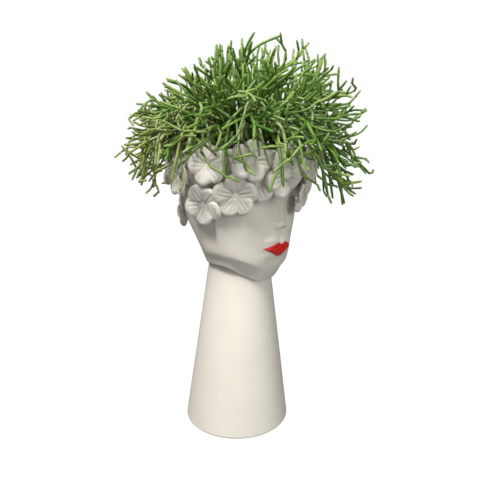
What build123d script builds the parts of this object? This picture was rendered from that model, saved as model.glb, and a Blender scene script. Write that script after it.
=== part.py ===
from build123d import *
import math
import os
import random

# A pale ceramic planter in the shape of a head on a tall conical neck, with a crown of
# modelled flowers, painted lips and a lift-out pot of mistletoe cactus.
# The object stands on Z = 0 with the base's centre at the origin, and its face looks along -Y.
# Lengths are in millimetres.

os.makedirs("parts", exist_ok=True)

# Neck: a hollow cone that leans a little towards the face
base_radius = 75.6
throat_radius = 46.8
throat_height = 207.5
neck_lean_deg = 1.3
neck_wall = 7.0
foot_round = 3.0

# Head: ellipses stacked from the chin to the rim
chin_height = 213.0
rim_height = 385.0
head_half_width = 92.0
head_half_depth = 90.0
head_wall = 9.0
socket_depth = 39.0
floor_thickness = 10.0
rim_round = 2.5
jaw_round = 3.0

# Lift-out growing pot, a standard 14 cm size, on three lugs over the drain
pot_radius = 70.0
pot_foot_radius = 50.0
pot_height = 104.0
pot_wall = 1.2
pot_brim = 2.0
pot_brim_height = 5.0
pot_setback = 10.0
lug_height = 19.0
lug_radius = 6.0
soil_drop = 10.0

# Drain and its stopper
drain_radius = 7.0
stopper_clearance = 0.3
stopper_flange = 4.0
stopper_flange_height = 3.0

# Flowers
petal_radius = 12.0
petal_reach = 15.0
petal_thickness = 5.0
petal_round = 2.3
petal_tilt_deg = 9.0
petal_twist_deg = 7.0
flower_standoff = 8.0
throat_boss_radius = 8.5
button_radius = 4.5

# Plant
stem_radius = 2.5
twig_radius = 2.1
stem_gap = 0.6
bush_reach = 156.0
bush_height = 132.0
bush_forward_reach = 184.0
bush_forward_height = 164.0
droop_length = 62.0
mound_radius = 9.0
mound_height = 5.0
joint_length = 20.0
twig_length = 15.0
crown_gap = 2.0
rim_clearance = 6.0

# Face
nose_height = 46.0
nose_base_height = 287.0
nose_half_width = 9.5
nose_tip_depth = 88.0
eye_hollow_radius = 48.0
eye_hollow_depth = 6.0
eye_hollow_height = 309.0
eye_hollow_offset = 29.0
mouth_half_width = 27.0
mouth_height = 260.5
mouth_depth = 79.0
upper_lip_height = 9.4
lower_lip_height = 12.0
lip_half_depth = 6.0
upper_lip_rise = 3.6
lower_lip_drop = 5.0

overrun = 2.0

head_height = rim_height - chin_height
neck_top = chin_height + socket_depth
well_floor = neck_top + floor_thickness
pot_floor = well_floor + lug_height
pot_top = pot_floor + pot_height
soil_top = pot_top - soil_drop
neck_half_angle = math.atan((base_radius - throat_radius) / throat_height)

# Each section of the head: height above the chin as a share of the head's height, then the
# place of its centre along Y and its half depth as shares of the half depth, and between them
# its half width as a share of the half width
head_section_shares = [
    (-0.05, -0.192, 0.400, 0.400),
    (0.064, -0.187, 0.543, 0.533),
    (0.157, -0.180, 0.625, 0.606),
    (0.285, -0.161, 0.717, 0.678),
    (0.424, -0.118, 0.815, 0.756),
    (0.622, -0.078, 0.913, 0.850),
    (0.820, -0.078, 0.973, 0.939),
    (1.000, -0.070, 1.000, 1.000),
]

# Across the mouth: the places of the lips' sections, and each lip's thickness there
lip_place_shares = [-1.0, -0.62, -0.26, 0.0, 0.26, 0.62, 1.0]
upper_lip_shares = [0.14, 0.60, 1.0, 0.82, 1.0, 0.60, 0.14]
lower_lip_shares = [0.14, 0.62, 0.95, 1.0, 0.95, 0.62, 0.14]

# Each flower: bearing from the face's middle in degrees, height above the chin as a share of
# the head's height, size share, tilt upwards and spin in degrees, and stand-off share
lower_row_shares = [
    (-103, 0.817, 1.00, 4, 10, 1.0),
    (-77, 0.628, 1.00, -6, 40, 1.0),
    (-50, 0.692, 1.04, -4, 18, 1.0),
    (-13, 0.826, 1.04, 2, 52, 1.0),
    (23, 0.690, 0.98, -4, 30, 1.0),
    (53, 0.700, 1.00, -4, 5, 1.0),
    (88, 0.670, 0.98, -2, 22, 1.0),
    (123, 0.690, 1.00, -6, 47, 1.0),
    (158, 0.660, 0.98, -4, 12, 1.0),
    (188, 0.690, 1.00, -2, 33, 1.0),
    (218, 0.540, 0.90, 14, 60, 0.7),
    (-32, 0.760, 0.86, 2, 8, 0.6),
]
upper_row_shares = [
    (-70, 0.890, 0.96, 10, 28, 1.4),
    (-40, 0.915, 0.96, 12, 0, 1.4),
    (-9, 0.920, 0.90, 14, 30, 0.9),
    (16, 0.910, 0.96, 10, 44, 1.4),
    (46, 0.890, 0.96, 12, 20, 1.4),
    (77, 0.905, 0.96, 14, 8, 1.4),
    (108, 0.890, 0.96, 10, 36, 1.4),
    (138, 0.905, 0.96, 12, 55, 1.4),
    (168, 0.890, 0.96, 14, 15, 1.4),
    (198, 0.905, 0.96, 12, 41, 1.4),
    (228, 0.880, 0.96, 12, 5, 1.2),
]


def save(shape, node, curves=True):
    export_step(shape, f"parts/{node}.step", write_pcurves=curves)


def section_at(height):
    """The head's centre along Y, half width and half depth at a height."""
    share = (height - chin_height) / head_height
    rows = head_section_shares
    for low, high in zip(rows, rows[1:]):
        if share <= high[0] or high is rows[-1]:
            t = (share - low[0]) / (high[0] - low[0])
            centre, width, depth = (a + t * (b - a) for a, b in zip(low[1:], high[1:]))
            return centre * head_half_depth, width * head_half_width, depth * head_half_depth


def head_ellipse(share_row, inset):
    height, centre, width, depth = share_row
    place = Pos(0, centre * head_half_depth, chin_height + height * head_height)
    return place * Ellipse(width * head_half_width - inset, depth * head_half_depth - inset)


def neck_cone(inset):
    """The neck's cone, run past both of its ends and drawn in by inset."""
    slope = math.tan(neck_half_angle)
    radius = base_radius - inset / math.cos(neck_half_angle)
    drop = foot_round + overrun
    rise = neck_top + drop
    cone = Cone(
        radius + drop * slope,
        radius - rise * slope,
        drop + rise,
        align=(Align.CENTER, Align.CENTER, Align.MIN),
    )
    return Rot(neck_lean_deg, 0, 0) * Pos(0, 0, -drop) * cone


def neck_body():
    slab = Pos(0, 0, neck_top / 2) * Box(4 * base_radius, 4 * base_radius, neck_top)
    body = neck_cone(0) & slab
    foot = body.faces().sort_by(Axis.Z)[0].edges()
    return fillet(foot, foot_round)


def underside_cutters():
    """What lies under the jaw: a profile seen from the side, and one seen from the front."""
    front, back = -1.2 * head_half_depth, 0.9 * head_half_depth
    low = chin_height - 0.4 * head_height
    nape_height = chin_height + 0.11 * head_height
    jaw_height = chin_height + 0.134 * head_height
    corner = (-0.30 * head_half_depth, jaw_height)
    slope_foot = (-0.555 * head_half_depth, chin_height + 0.009 * head_height)
    side_view = Polyline(
        (back, nape_height),
        corner,
        slope_foot,
        (front, chin_height),
        (front, low),
        (back, low),
        close=True,
    )
    side_cutter = extrude(
        make_face(Plane.YZ * side_view), amount=1.3 * head_half_width, both=True
    )

    def runs_through(edge, place):
        centre = edge.center()
        return math.dist((centre.Y, centre.Z), place) < overrun

    corners = [
        edge
        for edge in side_cutter.edges().filter_by(Axis.X)
        if runs_through(edge, corner) or runs_through(edge, slope_foot)
    ]
    side_cutter = fillet(corners, 0.15 * head_half_depth)
    half_width = 0.68 * head_half_width
    shoulder = 0.60 * head_half_width
    sweep_radius = 0.76 * head_half_width
    top = chin_height + sweep_radius - math.sqrt(sweep_radius**2 - shoulder**2)
    slab = Pos(0, 0, (low + top) / 2) * Box(2 * half_width, -2.4 * front, top - low)
    roller = Pos(0, 0, chin_height + sweep_radius) * Rot(90, 0, 0) * Cylinder(
        sweep_radius, -3 * front
    )
    return side_cutter, slab - roller


def eye_hollows():
    """A ball on each side of the nose that dishes the face under the brow."""
    centre, width, depth = section_at(eye_hollow_height)
    across = eye_hollow_offset / width
    surface = centre - depth * math.sqrt(1 - across**2)
    lean = math.asin(across * depth / width)
    reach = eye_hollow_radius - eye_hollow_depth
    return [
        Pos(
            side * (eye_hollow_offset + reach * math.sin(lean)),
            surface - reach * math.cos(lean),
            eye_hollow_height,
        )
        * Sphere(eye_hollow_radius)
        for side in (-1, 1)
    ]


def nose():
    """A small wedge with a round ridge and a flat underside."""
    # height above the nose's base, half width, how far the ridge lies behind the tip, and the
    # section's half depth, as shares of the nose's own sizes
    nose_shares = [
        (0.00, 0.88, 0.040, 1.30),
        (0.14, 1.00, 0.000, 1.45),
        (0.50, 0.60, 0.012, 1.20),
        (1.00, 0.46, -0.006, 0.80),
    ]
    sections = []
    for height, width, behind, depth in nose_shares:
        half_depth = depth * nose_half_width
        ridge = -nose_tip_depth * (1 - behind)
        place = Pos(0, ridge + half_depth, nose_base_height + height * nose_height)
        sections.append(place * Ellipse(width * nose_half_width, half_depth))
    return loft(sections)


def head_form():
    """The head's outside, with the hollows under the brow."""
    form = loft([head_ellipse(row, 0) for row in head_section_shares])
    return form - eye_hollows()


def head_body(form, neck):
    body = form
    for cutter in underside_cutters():
        body -= cutter
    outside = max(body.faces(), key=lambda face: face.area)
    jaw = [edge for edge in outside.edges() if edge.center().Z < neck_top - head_wall]
    body = fillet(jaw, jaw_round)
    body += nose()
    body -= neck
    floor_share = (well_floor - chin_height) / head_height
    centre, width, depth = section_at(well_floor)
    floor_row = (
        floor_share,
        centre / head_half_depth,
        width / head_half_width,
        depth / head_half_depth,
    )
    well_rows = [row for row in head_section_shares if row[0] > floor_share + 0.05]
    well_rows.insert(0, floor_row)
    top = well_rows[-1]
    above = (top[0] + overrun / head_height, top[1], top[2] * 1.001, top[3] * 1.001)
    body -= loft([head_ellipse(row, head_wall) for row in well_rows + [above]])
    rim = [edge for edge in body.edges() if edge.center().Z > rim_height - overrun / 2]
    body = fillet(rim, rim_round)
    for place in lug_places():
        body += place * Cylinder(
            lug_radius, lug_height, align=(Align.CENTER, Align.CENTER, Align.MIN)
        )
    drain = Cylinder(drain_radius, 2 * floor_thickness)
    return body - Pos(0, -pot_setback, well_floor) * drain


def lug_places():
    ring = pot_foot_radius - 2 * lug_radius
    return [
        Pos(ring * math.cos(turn), ring * math.sin(turn) - pot_setback, well_floor)
        for turn in (math.tau * k / 3 + math.pi / 6 for k in range(3))
    ]


def lip_roll(shares, height, middle):
    """A tapered roll across the mouth, bent round the face."""
    _, width, depth = section_at(mouth_height)
    sections = []
    for across, share in zip(lip_place_shares, shares):
        x = across * mouth_half_width
        bend = depth * (1 - math.sqrt(1 - (x / width) ** 2))
        half_depth = lip_half_depth * (0.3 + 0.7 * share)
        y = -mouth_depth + lip_half_depth + bend
        z = mouth_height + middle * share
        plane = Plane(origin=(x, y, z), x_dir=(0, 1, 0), z_dir=(1, 0, 0))
        sections.append(plane * Ellipse(half_depth, height * share / 2))
    return loft(sections)


def lips(form):
    """Two rolls that meet along the mouth, seated on the face."""
    upper = lip_roll(upper_lip_shares, upper_lip_height, upper_lip_rise) - form
    lower = lip_roll(lower_lip_shares, lower_lip_height, -lower_lip_drop) - form
    return largest(largest(upper) + largest(lower))


def flower_blank(size, standoff):
    """Five overlapping petals round a button, on a boss, facing +Z from the seat at the origin."""
    radius, reach = size * petal_radius, size * petal_reach
    blade = Cylinder(radius, petal_thickness)
    blade = fillet(blade.edges(), petal_round)
    lift = size * standoff
    boss = Cone(
        size * throat_boss_radius,
        size * throat_boss_radius * 0.8,
        lift + petal_thickness,
        align=(Align.CENTER, Align.CENTER, Align.MIN),
    )
    whole = Pos(0, 0, -petal_thickness) * boss
    for k in range(5):
        swing = Rot(0, 0, 72 * k) * Pos(reach, 0, lift)
        whole += swing * Rot(petal_twist_deg, -petal_tilt_deg, 0) * blade
    return whole + Pos(0, 0, lift) * Sphere(size * button_radius)


def flower_place(bearing, height_share, tilt, spin):
    """The seat of a flower on the head, with Z along the way it faces."""
    height = chin_height + height_share * head_height
    centre, width, depth = section_at(height)
    _, width_above, depth_above = section_at(height + overrun)
    turn = math.radians(bearing)
    seat = Vector(width * math.sin(turn), centre - depth * math.cos(turn), height)
    outward = Vector(math.sin(turn) / width, -math.cos(turn) / depth, 0).normalized()
    grow = math.hypot(
        (width_above - width) * math.sin(turn), (depth_above - depth) * math.cos(turn)
    )
    pitch = math.radians(tilt) - math.atan(grow / overrun)
    facing = outward * math.cos(pitch) + Vector(0, 0, math.sin(pitch))
    level = Vector(0, 0, 1).cross(outward)
    return Plane(origin=seat, x_dir=level, z_dir=facing).location * Rot(0, 0, spin)


def largest(shape):
    return max(shape.solids(), key=lambda solid: solid.volume)


def crown_of_flowers(form):
    """Every flower, each cut to its seat on the head and to the flowers set before it."""
    flowers = []
    blanks = {}
    for bearing, height, size, tilt, spin, raised in lower_row_shares + upper_row_shares:
        if (size, raised) not in blanks:
            blanks[size, raised] = flower_blank(size, raised * flower_standoff)
        flower = flower_place(bearing, height, tilt, spin) * blanks[size, raised]
        box = flower.bounding_box()
        near = [f for f in flowers if boxes_meet(box, f.bounding_box())]
        flower = flower - [form, *near]
        flowers.append(largest(flower))
    return flowers


def boxes_meet(one, other):
    return all(
        low < high
        for a, b in ((one, other), (other, one))
        for low, high in ((a.min.X, b.max.X), (a.min.Y, b.max.Y), (a.min.Z, b.max.Z))
    )


def growing_pot():
    slope = (pot_radius - pot_foot_radius) / pot_height
    upright = (Align.CENTER, Align.CENTER, Align.MIN)
    outer = Cone(pot_foot_radius, pot_radius, pot_height, align=upright)
    brim_foot = pot_height - pot_brim_height
    brim_radius = pot_radius + pot_brim
    outer += Pos(0, 0, brim_foot) * Cylinder(brim_radius, pot_brim_height, align=upright)
    outer -= Pos(0, 0, pot_wall) * pot_filling(pot_height - pot_wall + overrun, slope)
    hole = Cylinder(0.1 * pot_foot_radius, 4 * pot_wall)
    for k in range(4):
        outer -= Rot(0, 0, 90 * k + 45) * Pos(0.62 * pot_foot_radius, 0, 0) * hole
    return Pos(0, -pot_setback, pot_floor) * outer


def pot_filling(height, slope):
    """What fills the pot from its floor up to a height above that floor."""
    foot = pot_foot_radius - pot_wall + pot_wall * slope
    return Cone(foot, foot + height * slope, height, align=(Align.CENTER, Align.CENTER, Align.MIN))


def potting_mix():
    slope = (pot_radius - pot_foot_radius) / pot_height
    fill = pot_filling(soil_top - pot_floor - pot_wall, slope)
    return Pos(0, -pot_setback, pot_floor + pot_wall) * fill


def drain_stopper():
    upright = (Align.CENTER, Align.CENTER, Align.MIN)
    shank = Pos(0, 0, -floor_thickness + overrun) * Cylinder(
        drain_radius - stopper_clearance, floor_thickness - overrun, align=upright
    )
    head = Cylinder(drain_radius + stopper_flange, stopper_flange_height, align=upright)
    return Pos(0, -pot_setback, well_floor) * (shank + head)


# The plant grows by rule: each shoot runs from a root mound on the potting mix to a tip on
# the bush's outline, kinks at its joints and forks, and keeps clear of all that grew before.


def add(a, b, share=1.0):
    return tuple(p + share * q for p, q in zip(a, b))


def unit(a):
    length = math.sqrt(sum(p * p for p in a))
    return tuple(p / length for p in a)


def dot(a, b):
    return sum(p * q for p, q in zip(a, b))


def heading(turn, rise):
    """A direction from a bearing round Z and a rise above level, in radians."""
    return (
        math.cos(rise) * math.cos(turn),
        math.cos(rise) * math.sin(turn),
        math.sin(rise),
    )


def bush_outline(turn, rise):
    """How far the bush reaches from the middle of the rim in a direction."""
    forward = 0.5 + 0.5 * math.cos(turn + 0.5)
    side = bush_reach + (bush_forward_reach - bush_reach) * forward
    top = bush_height + (bush_forward_height - bush_height) * forward
    if rise < 0:
        return side - 0.6 * droop_length * min(1.0, -rise / 0.6) ** 2
    up = min(1.0, 2.4 * math.sin(rise) ** 2)
    return side * (1 - up) + top * up


class Thicket:
    """The points of what has grown, by cell, to keep new growth clear of it."""

    def __init__(self):
        self.cell = 2 * (2 * stem_radius + stem_gap)
        self.cells = {}

    def key(self, point):
        return tuple(int(p // self.cell) for p in point)

    def near(self, point):
        i, j, k = self.key(point)
        for di in (-1, 0, 1):
            for dj in (-1, 0, 1):
                for dk in (-1, 0, 1):
                    yield from self.cells.get((i + di, j + dj, k + dk), ())

    def plant(self, points, owner, radius):
        for point in points:
            self.cells.setdefault(self.key(point), []).append((point, owner, radius))

    def is_clear(self, points, radius, excused):
        """Whether points stay clear of every owner, apart from those excused near a place."""
        slack = stem_gap + 0.2 * stem_radius
        for point in points:
            for other, owner, other_radius in self.near(point):
                if math.dist(point, other) > radius + other_radius + slack:
                    continue
                place, reach = excused.get(owner, (None, 0))
                if place is None or math.dist(point, place) > reach:
                    return False
        return True


def fine_points(path):
    """Points along a path, no further apart than a stem's radius."""
    points = []
    for a, b in zip(path, path[1:]):
        steps = max(1, math.ceil(math.dist(a, b) / stem_radius))
        points += [add(a, add(b, a, -1), k / steps) for k in range(steps)]
    return points + [path[-1]]


def crown_band():
    """The crown's top, and how far its flowers stand out of the head."""
    spread = petal_reach + petal_radius
    tops = [height * head_height + size * spread for _, height, size, *_ in all_flower_shares]
    stands = [
        size * (raised * flower_standoff + 0.5 * petal_thickness)
        + size * spread * math.sin(math.radians(petal_tilt_deg))
        for _, _, size, _, _, raised in all_flower_shares
    ]
    return chin_height + max(tops), max(stands)


def clears_crown(points, radius):
    """Whether growth lies inside the opening, above the flowers or outside them."""
    crown_top, crown_stand = crown_band()
    rim_centre, rim_width, rim_depth = section_at(rim_height)
    inside = head_wall + rim_clearance + radius
    outside = crown_stand + crown_gap + radius
    for x, y, z in points:
        y -= rim_centre
        if math.hypot(x / (rim_width - inside), y / (rim_depth - inside)) < 1:
            if z < soil_top:
                return False
            continue
        if z > crown_top + crown_gap + radius:
            continue
        if math.hypot(x / (rim_width + outside), y / (rim_depth + outside)) < 1:
            return False
    return True


def bend(root, first, last, tip, steps):
    """Points on a curve that leaves root towards first and reaches tip from last."""
    points = []
    for k in range(steps + 1):
        t = k / steps
        s = 1 - t
        weights = (s**3, 3 * s * s * t, 3 * s * t * t, t**3)
        corners = (root, first, last, tip)
        points.append(tuple(sum(w * c[i] for w, c in zip(weights, corners)) for i in range(3)))
    return points


def kinked(points, chance, amount):
    """The points, each but the first nudged aside, as at the joints of the stems."""
    return points[:1] + [
        tuple(p + chance.uniform(-amount, amount) for p in point) for point in points[1:]
    ]


def shoot_path(chance, root, turn, rise):
    """One shoot's points, from its root to a tip near the bush's outline."""
    middle = (0, section_at(rim_height)[0], rim_height)
    low = rise < 0.12
    reach = bush_outline(turn, rise) * chance.uniform(0.78 if low else 0.70, 1.0)
    tip = add(middle, heading(turn, rise), reach)
    span = math.dist(root, tip)
    steep = math.radians(chance.uniform(60, 80) if low else chance.uniform(58, 82))
    first = add(root, heading(turn, steep), span * chance.uniform(0.42, 0.6 if low else 0.42))
    if low:
        over = crown_band()[0] + chance.uniform(0.4, 0.9) * droop_length
        inward = chance.uniform(0.74, 0.98)
        last = (inward * tip[0], inward * tip[1], over)
    else:
        fall = rise - math.radians(chance.uniform(8, 34))
        last = add(tip, heading(turn + chance.uniform(-0.2, 0.2), fall), -0.36 * span)
    steps = max(4, round((1.6 if low else 1.15) * span / joint_length))
    return kinked(bend(root, first, last, tip, steps), chance, stem_radius)


def twig_path(chance, parent, joint):
    """A side twig's points: it leaves a joint at an angle and then follows its own way."""
    along = unit(add(parent[joint + 1], parent[joint], -1))
    turn = math.atan2(along[1], along[0]) + chance.choice((-1, 1)) * chance.uniform(0.3, 0.9)
    rise = math.asin(max(-1, min(1, along[2])))
    rise += chance.uniform(0.1, 0.9) if rise < -0.7 else chance.uniform(-0.35, 0.6)
    points = [parent[joint]]
    for _ in range(chance.choice((2, 2, 3))):
        points.append(add(points[-1], heading(turn, rise), twig_length * chance.uniform(0.7, 1.2)))
        turn += chance.uniform(-0.35, 0.35)
        rise += chance.uniform(-0.25, 0.35)
    return points


def within_bush(points):
    middle = (0, section_at(rim_height)[0], rim_height)
    for point in points:
        away = add(point, middle, -1)
        distance = math.sqrt(dot(away, away))
        turn = math.atan2(away[1], away[0])
        if distance > 1.02 * bush_outline(turn, math.asin(away[2] / max(distance, stem_radius))):
            return False
    return True


class Bush:
    """All clumps: each a mound's place and its stems, a stem being its points and its radius."""

    def __init__(self, seed):
        self.chance = random.Random(seed)
        self.thicket = Thicket()
        self.clumps = []
        self.owners = []

    def settle(self, ring_shares):
        for share, count in ring_shares:
            for k in range(count):
                turn = math.tau * (k + 0.5 * share) / count
                away = share * (pot_radius - mound_radius)
                place = (away * math.cos(turn), away * math.sin(turn) - pot_setback, soil_top)
                self.clumps.append({"place": place, "share": share, "stems": []})
                crown = add(place, (0, 0, mound_height))
                self.thicket.plant([crown], ("mound", len(self.clumps) - 1), mound_radius)

    def keep(self, clump, path, fine, radius):
        self.thicket.plant(fine, len(self.owners), radius)
        self.owners.append(clump)
        clump["stems"].append((path, radius))
        return len(self.owners) - 1

    def grow_shoot(self, number, rank, ranks):
        """Try a few ways to grow one shoot from a clump, and give its path and owner."""
        chance, clump = self.chance, self.clumps[number]
        place, share = clump["place"], clump["share"]
        outward = math.atan2(place[1] + pot_setback, place[0])
        spread, low, high = clump_habits[share]
        for _ in range(90):
            turn = outward + spread * chance.uniform(-1, 1)
            lift = ((rank + chance.random()) / ranks) ** 1.25
            rise = math.radians(low + (high - low) * lift)
            nudge = heading(chance.uniform(0, math.tau), 0)
            root = add(add(place, nudge, 0.4 * mound_radius), (0, 0, 0.3 * mound_height))
            path = shoot_path(chance, root, turn, rise)
            fine = fine_points(path)
            excused = {("mound", number): (place, 1.6 * joint_length)}
            for owner, other in enumerate(self.owners):
                if other is clump:
                    excused[owner] = (place, 1.7 * joint_length)
            if not clears_crown(fine, stem_radius):
                continue
            if self.thicket.is_clear(fine, stem_radius, excused):
                return path, self.keep(clump, path, fine, stem_radius)
        return None, None

    def grow_twig(self, clump, parent, parent_owner, joint):
        for _ in range(8):
            path = twig_path(self.chance, parent, joint)
            fine = fine_points(path)
            excused = {parent_owner: (parent[joint], 0.6 * joint_length)}
            if (
                within_bush(fine)
                and clears_crown(fine, twig_radius)
                and self.thicket.is_clear(fine, twig_radius, excused)
            ):
                return path, self.keep(clump, path, fine, twig_radius)
        return None, None

    def grow(self, ranks, twig_chance, fork_chance):
        for rank in range(ranks):
            for number, clump in enumerate(self.clumps):
                shoot, owner = self.grow_shoot(number, rank, ranks)
                if shoot is None:
                    continue
                joints = list(range(max(2, len(shoot) // 3), len(shoot) - 1))
                for joint in joints + joints[-4:]:
                    if self.chance.random() > twig_chance:
                        continue
                    twig, twig_owner = self.grow_twig(clump, shoot, owner, joint)
                    if twig is not None and self.chance.random() < fork_chance:
                        self.grow_twig(clump, twig, twig_owner, 1)


def stem_solid(points, radius, sides=4):
    """A tube of flat faces along the points, mitred at each joint."""
    ways = [unit(add(b, a, -1)) for a, b in zip(points, points[1:])]
    along = ways[0]
    helper = (0, 0, 1) if abs(along[2]) < 0.8 else (1, 0, 0)
    across = unit(add(helper, along, -dot(helper, along)))
    other = (
        along[1] * across[2] - along[2] * across[1],
        along[2] * across[0] - along[0] * across[2],
        along[0] * across[1] - along[1] * across[0],
    )
    ring = [
        add(
            tuple(radius * math.cos(math.tau * k / sides) * p for p in across),
            other,
            radius * math.sin(math.tau * k / sides),
        )
        for k in range(sides)
    ]
    rings = [[add(points[0], spoke) for spoke in ring]]
    for k in range(1, len(points)):
        way = ways[k - 1]
        if k < len(ways):
            mitre = unit(add(way, ways[k]))
            spokes = [add(s, way, -dot(s, mitre) / dot(way, mitre)) for s in ring]
            ring = [add(s, ways[k], -dot(s, ways[k])) for s in spokes]
        else:
            spokes = ring
        rings.append([add(points[k], spoke) for spoke in spokes])
    outlines = [rings[0][::-1], rings[-1]]
    for low, high in zip(rings, rings[1:]):
        for k in range(sides):
            m = (k + 1) % sides
            outlines.append([low[k], low[m], high[m], high[k]])
    faces = [Face(Wire.make_polygon(outline, close=True)) for outline in outlines]
    return Solid(Shell(faces))


def clump_body(clump):
    mound = extrude(RegularPolygon(mound_radius, 8), amount=mound_height, taper=25)
    stems = [stem_solid(points, radius) for points, radius in clump["stems"]]
    return (Pos(*clump["place"]) * mound).fuse(*stems)


all_flower_shares = lower_row_shares + upper_row_shares

# For each ring of clumps, by its share of the pot's radius: how far its shoots fan out from
# its own bearing, in radians, and their lowest and highest rise in degrees
clump_habits = {0.0: (math.pi, 52, 88), 0.40: (0.9, 14, 70), 0.78: (0.75, -32, 46)}

neck = neck_body()
form = head_form()
head = head_body(form, neck)
save(neck - neck_cone(neck_wall), "neck_pedestal")
save(head, "head_pot")
save(lips(form), "lips")
for number, flower in enumerate(crown_of_flowers(form), 1):
    save(flower, f"flower_{number:02d}")
save(drain_stopper(), "drain_stopper")
save(growing_pot(), "growing_pot")
save(potting_mix(), "potting_mix")
bush = Bush(seed=20)
bush.settle([(0.0, 1), (0.40, 4), (0.78, 7)])
bush.grow(ranks=14, twig_chance=0.85, fork_chance=0.6)
for number, clump in enumerate(bush.clumps, 1):
    save(clump_body(clump), f"cactus_clump_{number:02d}", curves=False)
print("stems", [len(clump["stems"]) for clump in bush.clumps])
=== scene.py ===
import math
import random

import bmesh
import bpy
import numpy as np
from mathutils import Matrix, Vector


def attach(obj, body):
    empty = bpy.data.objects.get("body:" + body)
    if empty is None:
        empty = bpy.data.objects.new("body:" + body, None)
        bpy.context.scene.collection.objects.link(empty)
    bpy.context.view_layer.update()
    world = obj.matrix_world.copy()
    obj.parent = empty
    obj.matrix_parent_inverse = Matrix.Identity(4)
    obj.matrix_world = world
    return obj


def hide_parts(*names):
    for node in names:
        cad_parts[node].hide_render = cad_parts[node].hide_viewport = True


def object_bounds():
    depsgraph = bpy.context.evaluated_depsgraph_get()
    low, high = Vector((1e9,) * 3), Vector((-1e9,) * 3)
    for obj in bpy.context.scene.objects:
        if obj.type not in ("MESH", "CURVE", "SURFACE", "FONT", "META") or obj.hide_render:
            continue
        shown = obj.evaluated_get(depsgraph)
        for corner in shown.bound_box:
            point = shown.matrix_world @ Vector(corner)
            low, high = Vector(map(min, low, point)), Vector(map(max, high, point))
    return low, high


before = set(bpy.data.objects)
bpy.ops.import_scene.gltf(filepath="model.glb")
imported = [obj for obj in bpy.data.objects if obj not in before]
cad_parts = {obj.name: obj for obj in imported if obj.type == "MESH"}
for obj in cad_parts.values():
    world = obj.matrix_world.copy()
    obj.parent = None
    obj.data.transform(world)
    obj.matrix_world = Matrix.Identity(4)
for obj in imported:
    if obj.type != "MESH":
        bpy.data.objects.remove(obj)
cad_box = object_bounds()

# The planter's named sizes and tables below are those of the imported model, in millimetres.
# Meshes are made in metres, so lengths are taken times MM.
MM = 0.001

chin_height = 213.0
rim_height = 385.0
head_height = rim_height - chin_height
head_half_width = 92.0
head_half_depth = 90.0
head_wall = 9.0
overrun = 2.0

pot_radius = 70.0
pot_setback = 10.0
soil_top = 375.0

petal_radius = 12.0
petal_reach = 15.0
petal_thickness = 5.0
petal_tilt_deg = 9.0
flower_standoff = 8.0

stem_radius = 2.5
twig_radius = 2.1
stem_gap = 0.6
bush_reach = 156.0
bush_height = 132.0
bush_forward_reach = 184.0
bush_forward_height = 164.0
droop_length = 62.0
mound_radius = 9.0
mound_height = 5.0
joint_length = 20.0
twig_length = 15.0
crown_gap = 2.0
rim_clearance = 6.0

# Through the head, from the chin up: its height as a share of the head's, the centre as a
# share of the half depth, and the shares of the half width and half depth
head_section_shares = [
    (-0.05, -0.192, 0.400, 0.400),
    (0.064, -0.187, 0.543, 0.533),
    (0.157, -0.180, 0.625, 0.606),
    (0.285, -0.161, 0.717, 0.678),
    (0.424, -0.118, 0.815, 0.756),
    (0.622, -0.078, 0.913, 0.850),
    (0.820, -0.078, 0.973, 0.939),
    (1.000, -0.070, 1.000, 1.000),
]

# For each flower: its bearing in degrees, its height as a share of the head's, its size, its
# tilt and its spin in degrees, and how far it stands off, as a share of the standoff
lower_row_shares = [
    (-103, 0.817, 1.00, 4, 10, 1.0),
    (-77, 0.628, 1.00, -6, 40, 1.0),
    (-50, 0.692, 1.04, -4, 18, 1.0),
    (-13, 0.826, 1.04, 2, 52, 1.0),
    (23, 0.690, 0.98, -4, 30, 1.0),
    (53, 0.700, 1.00, -4, 5, 1.0),
    (88, 0.670, 0.98, -2, 22, 1.0),
    (123, 0.690, 1.00, -6, 47, 1.0),
    (158, 0.660, 0.98, -4, 12, 1.0),
    (188, 0.690, 1.00, -2, 33, 1.0),
    (218, 0.540, 0.90, 14, 60, 0.7),
    (-32, 0.760, 0.86, 2, 8, 0.6),
]
upper_row_shares = [
    (-70, 0.890, 0.96, 10, 28, 1.4),
    (-40, 0.915, 0.96, 12, 0, 1.4),
    (-9, 0.920, 0.90, 14, 30, 0.9),
    (16, 0.910, 0.96, 10, 44, 1.4),
    (46, 0.890, 0.96, 12, 20, 1.4),
    (77, 0.905, 0.96, 14, 8, 1.4),
    (108, 0.890, 0.96, 10, 36, 1.4),
    (138, 0.905, 0.96, 12, 55, 1.4),
    (168, 0.890, 0.96, 14, 15, 1.4),
    (198, 0.905, 0.96, 12, 41, 1.4),
    (228, 0.880, 0.96, 12, 5, 1.2),
]
all_flower_shares = lower_row_shares + upper_row_shares


def section_at(height):
    """The head's centre along Y, half width and half depth at a height."""
    share = (height - chin_height) / head_height
    rows = head_section_shares
    for low, high in zip(rows, rows[1:]):
        if share <= high[0] or high is rows[-1]:
            t = (share - low[0]) / (high[0] - low[0])
            centre, width, depth = (a + t * (b - a) for a, b in zip(low[1:], high[1:]))
            return centre * head_half_depth, width * head_half_width, depth * head_half_depth


# ---------------------------------------------------------------- modelling helpers

# Up to what distance vertices are welded, and the fineness of a cast skin, in millimetres
weld_gap = 0.01
skin_cell = 1.6


def pick(piece):
    """Make a piece the only one selected, and the active one."""
    bpy.ops.object.select_all(action="DESELECT")
    piece.select_set(True)
    bpy.context.view_layer.objects.active = piece


def add_thing(name, data):
    """A new object with its data, linked into the scene."""
    thing = bpy.data.objects.new(name, data)
    bpy.context.scene.collection.objects.link(thing)
    return thing


def shade(piece):
    """Shade a piece smooth, and give it back."""
    pick(piece)
    bpy.ops.object.shade_smooth()
    return piece


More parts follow.
